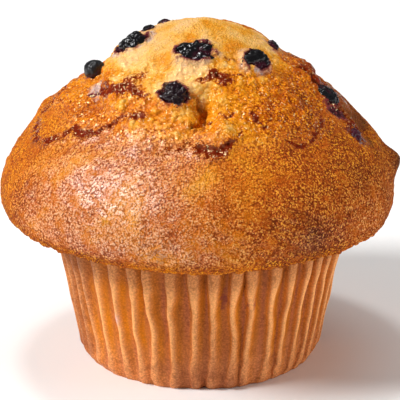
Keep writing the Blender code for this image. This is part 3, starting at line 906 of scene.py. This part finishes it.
# Spots of juice that came through: longitude, height, reach, amount
juiceSpots = [(-38.3, 19.4, 0.7, 0.40), (10, 25, 1.6, 0.30), (21, 24, 1.6, 0.30)]

# One pale lilac fleck: longitude, height, reach, amount
paleFleck = (-37.8, 17.2, 0.9, 0.75)

# Columns of one pleat: place across it, how deep it lies (0 crest, 1 valley), how amber and how dark it is,
# the dark being painted shade low on the flank and into the valley
pleatColumns = [
    ("crest", -1.0, 0.10, 0.0, 0.0), ("crest", -0.6, -0.01, 0.0, 0.0), ("crest", 0.0, -0.05, 0.0, 0.0),
    ("crest", 0.6, 0.00, 0.1, 0.0), ("crest", 1.0, 0.12, 0.5, 0.0), ("flank", 0.2, 0.32, 0.9, 0.0),
    ("flank", 0.5, 0.62, 1.0, 0.35), ("flank", 0.8, 0.86, 1.0, 0.8), ("flank", 1.0, 0.96, 0.8, 1.0),
    ("valley", 0.25, 1.0, 0.35, 0.7), ("valley", 0.5, 1.0, 0.05, 0.2), ("valley", 0.75, 1.0, 0.0, 0.0),
    ("flankUp", 1.0, 0.96, 0.5, 0.0), ("flankUp", 0.6, 0.66, 0.8, 0.0), ("flankUp", 0.25, 0.28, 0.7, 0.0),
]


def pleatMiddles():     # where each pleat stands, its phase of sway and its depth
    chance = random.Random(5)
    pitch = 360.0 / caseForm["pleats"]
    pleats = []
    for index in range(caseForm["pleats"]):
        shift = chance.uniform(-caseForm["uneven"], caseForm["uneven"])
        middle = (index + shift) * pitch + caseForm["firstPleat"]
        pleats.append((middle, chance.uniform(0.0, 2.0 * math.pi), chance.uniform(0.8, 1.15)))
    return pleats


def pleatAt(index, height, pleats):     # middle, half crest and flank of a pleat at one height, in degrees
    pitch = 360.0 / caseForm["pleats"]
    middle, sway, deep = pleats[index % len(pleats)]
    middle += 360.0 * (index // len(pleats))
    share = caseForm["crestShare"] + caseForm["rimWiden"] * float(fade(height, 21.0, 32.0))
    share += caseForm["footWiden"] * float(fade(height, 11.0, 2.0))
    swing = caseForm["sway"] * math.sin(height * 0.25 + sway)
    swing += 0.07 * noise.noise(Vector((index % len(pleats) * 3.7, height / 3.5, 0.5)))
    for lon, level, shift, reach in pinches:
        apart = (middle - lon + 180.0) % 360.0 - 180.0
        if abs(apart) < pitch / 2.0:
            swing += shift * math.exp(-((height - level) / reach) ** 2)
    swell = 1.0 + 0.45 * noise.noise(Vector((index % len(pleats) * 5.1, height / 5.0, 3.5)))
    crest = share / 2.0 * (0.6 + 0.4 * swell) * pitch
    return middle + swing * pitch, crest, min(deep, 1.0)


def wallRadius(lon, height):        # of the crests, with the dents of the crumpled foot
    low = 1.0 - fade(height, -0.6, caseForm["footHeight"] + 1.2)
    crest = caseForm["footRadius"] + caseForm["flare"] * (height - caseForm["footHeight"])
    place = Vector(around(lon, 5.0, height / 6.0))
    crumple = 0.25 + 0.45 * float(1.0 - fade(height, 1.0, 7.0))
    crest += crumple * noise.noise(place)
    for atLon, level, acrossReach, upReach, push in dents:
        across = math.radians((lon - atLon + 180.0) % 360.0 - 180.0) * caseForm["footRadius"]
        crest += push * math.exp(-(across / acrossReach) ** 2 - ((height - level) / upReach) ** 2)
    return float(crest - low * 1.1)


def pleatDepth(height):     # from crest to valley
    share = (height - caseForm["footHeight"]) / (caseForm["height"] - caseForm["footHeight"])
    depth = caseForm["footDepth"] + (caseForm["rimDepth"] - caseForm["footDepth"]) * max(share, 0.0)
    return depth * (0.35 + 0.65 * float(fade(height, -0.3, 2.4)))


def wallRing(height, pleats):       # one level of the wall: points, then crest, amber, dark and valley shares; the crest share carries a painted highlight, the dark share painted shade
    pitch = 360.0 / caseForm["pleats"]
    fall, steep = caseForm["flankShare"] * pitch, caseForm["steepShare"] * pitch
    points, shares = [], []
    for index in range(caseForm["pleats"]):
        middle, crest, deep = pleatAt(index, height, pleats)
        nextMiddle, nextCrest, nextDeep = pleatAt(index + 1, height, pleats)
        valleyStart = middle + crest + fall
        valleyEnd = max(nextMiddle - nextCrest - steep, valleyStart + 0.1)
        for part, share, drop, amber, dark in pleatColumns:
            if part == "crest":
                lon, depth = middle + crest * share, deep
            elif part == "flank":
                lon, depth = middle + crest + fall * share, deep
            elif part == "flankUp":
                lon, depth = nextMiddle - nextCrest - steep * share, nextDeep
            else:
                lon, depth = valleyStart + (valleyEnd - valleyStart) * share, deep
                depth += (nextDeep - deep) * share
            radius = wallRadius(lon, height) - pleatDepth(height) * depth * drop
            points.append(around(lon, radius, height))
            ridge = 1.0 - min(max(drop, 0.0) * 2.2, 1.0)
            shares.append((ridge, amber, dark, max(drop - 0.8, 0.0) * 5.0))
    return np.array(points), np.array(shares)


# Looks of the paper
paper = {
    # crests: lighter paper standing off the cake, with a painted highlight on it
    "crest": (0.96, 0.430, 0.145),
    "amber": (0.78, 0.235, 0.006),
    # painted shade low on the flanks and into the valleys
    "dark": (0.40, 0.110, 0.004),
    "valley": (0.45, 0.125, 0.040),
    # grease and painted shade at the top of the wall, under the cap's overhang
    "greaseAndShade": (0.33, 0.098, 0.022),
    "fleck": (0.62, 0.44, 0.50),
    "shade": (0.32, 0.092, 0.034),
    "worn": (0.68, 0.245, 0.080),           # dull low part, wrinkled by the tin
    "stippleDark": (0.62, 0.53, 0.50),
    "stippleLight": (1.32, 1.35, 1.40),
    "speckScale": 1500.0,
    "mottleScale": 160.0,
    "bumpShare": 0.5,
    "bumpDepth": 0.00008,
    "specular": 0.12,
}


def paperMaterial():
    material, tree, place = newMaterial("GreaseproofPaper")
    grain = placeGroup(tree, fineGrain, Vector=place, Scale=paper["speckScale"])["Height"]
    patches = placeGroup(tree, mottle, Vector=place, Scale=paper["mottleScale"])["Mask"]

    def patchy(name, low, high):        # a field that the mottle makes uneven
        return times(tree, fieldValue(tree, name), mapRange(tree, patches, 0.0, 1.0, low, high))

    rim = fieldValue(tree, "rim")
    colour = mixColours(tree, patchy("amber", 0.75, 1.1), paper["valley"], paper["amber"])
    # painted shade low on the flanks
    colour = mixColours(tree, times(tree, fieldValue(tree, "dark"), 0.8), colour, paper["dark"])
    # lighter crests, partly a painted highlight
    colour = mixColours(tree, fieldValue(tree, "crest"), colour, paper["crest"])
    colour = mixColours(tree, patchy("worn", 0.7, 1.0), colour, paper["worn"])
    colour = mixColours(tree, patchy("foot", 0.4, 1.0), colour, paper["shade"])
    # darker towards the top of the wall: grease and painted shade under the cap
    colour = mixColours(tree, times(tree, rim, 0.60), colour, paper["greaseAndShade"])
    stipple = colourRamp(tree, grain, [(0.0, paper["stippleDark"]), (1.0, paper["stippleLight"])])
    stippled = mixColours(tree, 1.0, colour, stipple, "MULTIPLY")
    backed = mathNode(tree, "MAXIMUM", fieldValue(tree, "stuck"), rim)      # where the cake shows through
    colour = mixColours(tree, mapRange(tree, backed, 0.0, 1.0, 0.45, 0.85), colour, stippled)
    colour = mixColours(tree, fieldValue(tree, "fleck"), colour, paper["fleck"])
    juice = fieldValue(tree, "juice")
    dressShader(tree, {
        "Base Color": placeGroup(tree, juiceStain, Color=colour, Vector=place, Juice=juice)["Color"],
        "Roughness": mapRange(tree, patches, 0.0, 1.0, 0.42, 0.62),
        "Normal": bumpNormal(tree, grain, paper["bumpShare"], paper["bumpDepth"]),
        "Specular IOR Level": paper["specular"],
    })
    return material


def caseBase(ring):     # the flat base under the wall's first ring, from its middle outwards
    rings = []
    for step in range(1, caseForm["baseRings"] + 1):
        share = step / (caseForm["baseRings"] + 1)
        inner = ring * share
        inner[:, 2] = 0.0
        rings.append(inner)
    return np.array(rings)


def caseFields(wall, crest, amber, dark, valley):       # what the paper's material reads
    height = wall[..., 2]
    uneven = randomHeights(wall, 7.0, 41, 2)
    front = wall[..., 0] / caseForm["footRadius"] * (wall[..., 1] < 0.0)        # -1 left, 1 right, 0 behind
    free = fade(randomHeights(wall, 15.0, 42) - 0.8 * front, 0.0, 0.5)          # where it came off the cake, and leaning to the left front as painted light

    foot = 0.9 * fade(height, 12.0, 3.0) * fade(uneven + 2.1 * bell(front - 0.10, 0.42) - 0.8, 0.0, 0.5)
    foot = np.maximum(foot, 0.8 * fade(-front + 0.08 * uneven, 0.80, 0.92))
    foot = np.maximum(foot, 0.65 * bell(front - 0.08, 0.32) * fade(height, 26.0, 12.0))

    stuck = valley * fade(uneven + 0.35 + 0.6 * fade(height, 14.0, 2.0), 0.0, 0.5)
    stuck = np.maximum(stuck * (1.0 - 0.7 * free), foot)
    stuck = np.maximum(stuck, 0.9 * fade(height, 12.0, 4.0))

    amber = np.maximum(amber, 0.40 * free * (1.0 - crest) * fade(height, 4.0, 12.0))
    juice = np.zeros(height.shape)
    for lon, level, reach, amount in juiceSpots:
        gap = np.linalg.norm((wall - around(lon, 33.0, level)) * (1.0, 1.0, 0.5), axis=-1)
        juice += amount * bell(gap, reach)
    lon, level, reach, amount = paleFleck
    gap = np.linalg.norm((wall - around(lon, 33.0, level)) * (1.0, 1.0, 0.6), axis=-1)
    return {
        "crest": crest,
        "amber": amber * (0.75 + 0.25 * free),
        "dark": dark * (1.0 - 0.6 * free),
        # painted shade of the flanks, less where the paper stands free and on the left front
        "stuck": stuck,
        "foot": foot,
        # top of the wall: grease and painted shade under the cap
        "rim": fade(height, 24.5, 30.5),
        "juice": juice,
        "fleck": amount * bell(gap, reach),
        "worn": 0.75 * fade(height + 3.0 * uneven, 14.0, 3.0),
    }


def makeCase(material):
    pleats = pleatMiddles()
    last = caseForm["levels"] - 1
    heights = [caseForm["height"] * (step / last) ** 1.15 for step in range(last + 1)]
    levels, shares = zip(*(wallRing(height, pleats) for height in heights))
    wall = np.array(levels)
    fields = caseFields(wall, *np.moveaxis(np.array(shares), -1, 0))
    base = caseBase(wall[0])
    rows, columns = len(base) + len(wall), wall.shape[1]
    points = np.concatenate([base.reshape(-1, 3), wall.reshape(-1, 3), [(0.0, 0.0, 0.0)]])
    faces = ringFaces(rows, columns)
    faces += [((column + 1) % columns, column, rows * columns) for column in range(columns)]
    case = newObject("baking_case", points, faces, material)
    for name, values in fields.items():
        under = 0.6 if name == "stuck" else 0.0
        paintField(case, name, np.concatenate([np.full(base[..., 0].size, under), values.ravel(), [under]]))
    sheet = case.modifiers.new("thickness", "SOLIDIFY")
    sheet.thickness = caseForm["paper"] * mm
    sheet.offset = -1.0
    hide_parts("paper_case")
    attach(case, "root")


# The skin of the berries
berrySkin = {
    "detail": 5,
    "foldSize": 0.62,           # of the berry's size
    "skin": (0.003, 0.002, 0.003),
    "bloom": (0.010, 0.011, 0.013),
    "wine": (0.070, 0.003, 0.016),
    "mottleScale": 700.0,
    "grainScale": 1800.0,
    "puckerScale": 1000.0, "puckerHeight": 3.0,
    "bumpDepth": 0.00014,
    "dryRoughness": 0.38,
    "wetRoughness": 0.06,
    "specular": 0.45,
}


def berryMaterial():
    material, tree, place = newMaterial("BerrySkin")
    patches = placeGroup(tree, mottle, Vector=place, Scale=berrySkin["mottleScale"])["Mask"]
    grain = placeGroup(tree, fineGrain, Vector=place, Scale=berrySkin["grainScale"])["Height"]
    bloom = times(tree, fieldValue(tree, "bloom"), mapRange(tree, patches, 0.0, 1.0, 0.35, 1.0))
    colour = mixColours(tree, bloom, berrySkin["skin"], berrySkin["bloom"])
    wine = times(tree, fieldValue(tree, "wine"), mapRange(tree, patches, 0.0, 1.0, 0.5, 1.0))
    dry, wet = berrySkin["dryRoughness"], berrySkin["wetRoughness"]
    rough = mapRange(tree, fieldValue(tree, "wet"), 0.0, 1.0, dry, wet)
    puckers = noiseValue(tree, place, berrySkin["puckerScale"], 0.0)
    height = mathNode(tree, "MULTIPLY_ADD", puckers, berrySkin["puckerHeight"], times(tree, grain, 0.2))
    dressShader(tree, {
        "Base Color": mixColours(tree, wine, colour, berrySkin["wine"]),
        "Roughness": mathNode(tree, "MULTIPLY_ADD", grain, 0.05, rough),
        "Normal": bumpNormal(tree, height, 1.0, berrySkin["bumpDepth"]),
        "Specular IOR Level": berrySkin["specular"],
    })
    return material


def makeBerry(name, settings, material):
    lon, lat, lift, halfSizes, wrinkle, wet, bloom, stain, _ = settings
    centre, across, up, out = berryFrame(lon, lat, lift)
    bm = bmesh.new()
    bmesh.ops.create_icosphere(bm, subdivisions=berrySkin["detail"], radius=1.0)
    ball = np.array([vert.co[:] for vert in bm.verts])
    faces = [[vert.index for vert in face.verts] for face in bm.faces]
    bm.free()
    seed = sum(ord(letter) for letter in name) % 97
    folds = 1.0 - np.abs(randomHeights(ball, berrySkin["foldSize"], seed, 2)) * 2.4
    pucker = np.abs(randomHeights(ball, berrySkin["foldSize"] / 2.8, seed + 9, 2))
    lumps = randomHeights(ball, 0.9, seed + 3, 2)
    shape = 1.0 + wrinkle * (0.9 * lumps - 0.8 * np.clip(folds, 0.0, 1.0) ** 2 + 0.35 * pucker - 0.05)
    local = ball * shape[:, None] * np.array(halfSizes)
    points = centre + local[:, :1] * across + local[:, 1:2] * up + local[:, 2:] * out
    berry = newObject(name + "_skin", points, faces, material)
    lowered = local[:, 2] + lift        # height over the cap
    steeped = stain * (1.0 - fade(lowered + 0.8 * lumps, 0.1, 1.0))
    paintField(berry, "wine", steeped + 3.0 * max(stain - 1.0, 0.0))
    paintField(berry, "bloom", bloom * fade(ball[:, 2] + 0.3 * lumps, -0.4, 0.5))
    paintField(berry, "wet", np.full(len(ball), wet))
    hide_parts(name)
    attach(berry, "root")


# Floor, lights and camera
studio = {
    "aim": (0.0, 0.0, 0.03795),
    "cameraDistance": 0.5,
    "cameraRise": 20.0,         # degrees above level
    "lens": 181.8,
    "lightDistance": 1.7,
    "lights": {                 # direction from the muffin, diameter, power, and whether it glints
        "KeyLight": ((-0.70, -0.28, 0.70), 0.58, 29.8, True),
        "FillLight": ((0.95, -0.16, 0.14), 1.0, 15.5, False),
        "LowLight": ((-0.80, -0.60, 0.08), 0.7, 2.5, False),
        "TopLight": ((0.1, 0.25, 1.0), 1.2, 6.5, False),
        "SparkleLight": ((-0.12, 0.20, 0.95), 0.26, 6.0, True),
    },
    "worldColour": (1.0, 0.99, 0.98),
    "worldStrength": 0.15,
    "floorColour": (0.93, 0.925, 0.915),
}


def lookAlong(item, aim):
    item.rotation_euler = (Vector(aim) - item.location).to_track_quat("-Z", "Y").to_euler()


def makeFloor():
    bm = bmesh.new()
    bmesh.ops.create_grid(bm, x_segments=1, y_segments=1, size=2.0)
    mesh = bpy.data.meshes.new("floor")
    bm.to_mesh(mesh)
    bm.free()
    floor = bpy.data.objects.new("floor", mesh)
    floor.location.z = cadBox[0].z - 0.0001
    material, tree, _ = newMaterial("PaleFloor")
    dressShader(tree, {"Base Color": studio["floorColour"], "Roughness": 0.7, "Specular IOR Level": 0.2})
    mesh.materials.append(material)
    bpy.context.scene.collection.objects.link(floor)


def makeLight(name, direction, size, power, shiny):
    light = bpy.data.lights.new(name, "AREA")
    light.shape = "DISK"
    light.size = size
    light.energy = power
    item = bpy.data.objects.new(name, light)
    item.location = Vector(studio["aim"]) + Vector(direction).normalized() * studio["lightDistance"]
    lookAlong(item, studio["aim"])
    item.visible_glossy = shiny
    bpy.context.scene.collection.objects.link(item)


def makeCamera():
    camera = bpy.data.cameras.new("Camera")
    camera.lens = studio["lens"]
    camera.clip_start = 0.01
    item = bpy.data.objects.new("Camera", camera)
    rise = math.radians(studio["cameraRise"])
    back = Vector((0.0, -math.cos(rise), math.sin(rise)))
    item.location = Vector(studio["aim"]) + back * studio["cameraDistance"]
    lookAlong(item, studio["aim"])
    bpy.context.scene.collection.objects.link(item)
    bpy.context.scene.camera = item


def makeStudio():
    makeFloor()
    for name, settings in studio["lights"].items():
        makeLight(name, *settings)
    world = bpy.data.worlds.new("PaleStudio")
    world.use_nodes = True
    background = world.node_tree.nodes["Background"]
    background.inputs["Color"].default_value = (*studio["worldColour"], 1.0)
    background.inputs["Strength"].default_value = studio["worldStrength"]
    bpy.context.scene.world = world
    makeCamera()
    bpy.context.scene.view_settings.view_transform = "Standard"


makeStudio()
print("studio ready")
makeCake(crustMaterial())
print("cake ready")
makeCase(paperMaterial())
print("paper case ready")
berryLook = berryMaterial()
for berryName, berrySettings in berries.items():
    makeBerry(berryName, berrySettings, berryLook)
print("berries ready")
